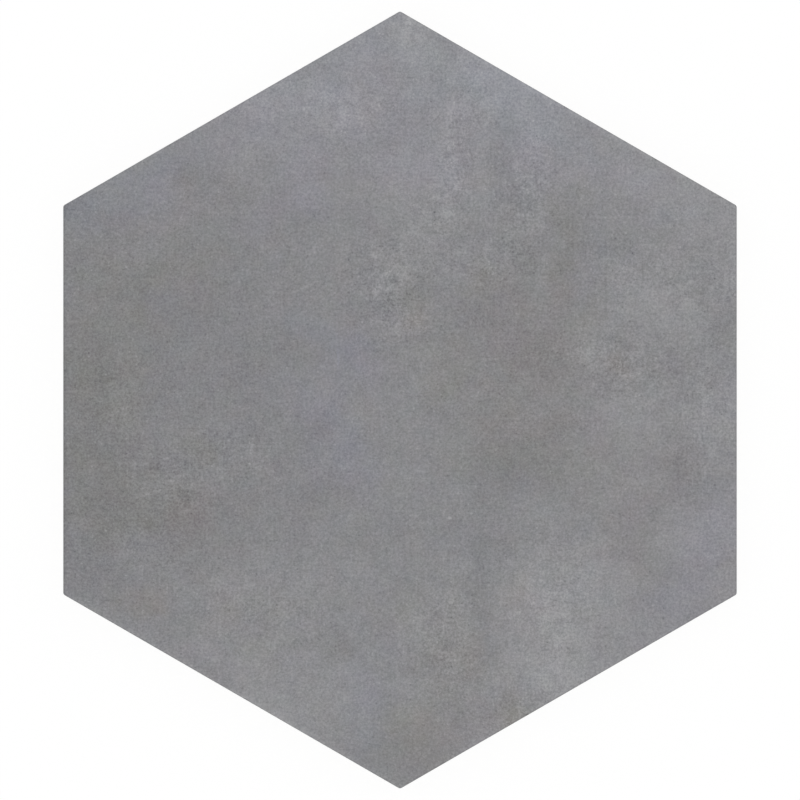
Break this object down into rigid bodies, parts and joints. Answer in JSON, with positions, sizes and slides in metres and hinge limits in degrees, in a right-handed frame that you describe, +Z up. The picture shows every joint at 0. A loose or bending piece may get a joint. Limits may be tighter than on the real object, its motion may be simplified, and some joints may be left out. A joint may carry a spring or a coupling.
{
  "type": "hexagon floor tile",
  "caption": "Flat regular hexagon floor tile of fired ceramic with a mottled grey cement-look face, lightly rounded edges and a shallow honeycomb key on its back.",
  "frame": {"origin": "middle of the back, on the plane of its ribs, where the tile rests", "axes": "+Z up out of the face, +Y towards a corner, +X towards the middle of a side"},
  "size_m": [0.2164, 0.2496, 0.009],
  "materials": {
    "fired_ceramic": "matt, mottled grey"
  },
  "bodies": {
    "root": {"hexagon_tile": "fired_ceramic"}
  },
  "joints": []
}
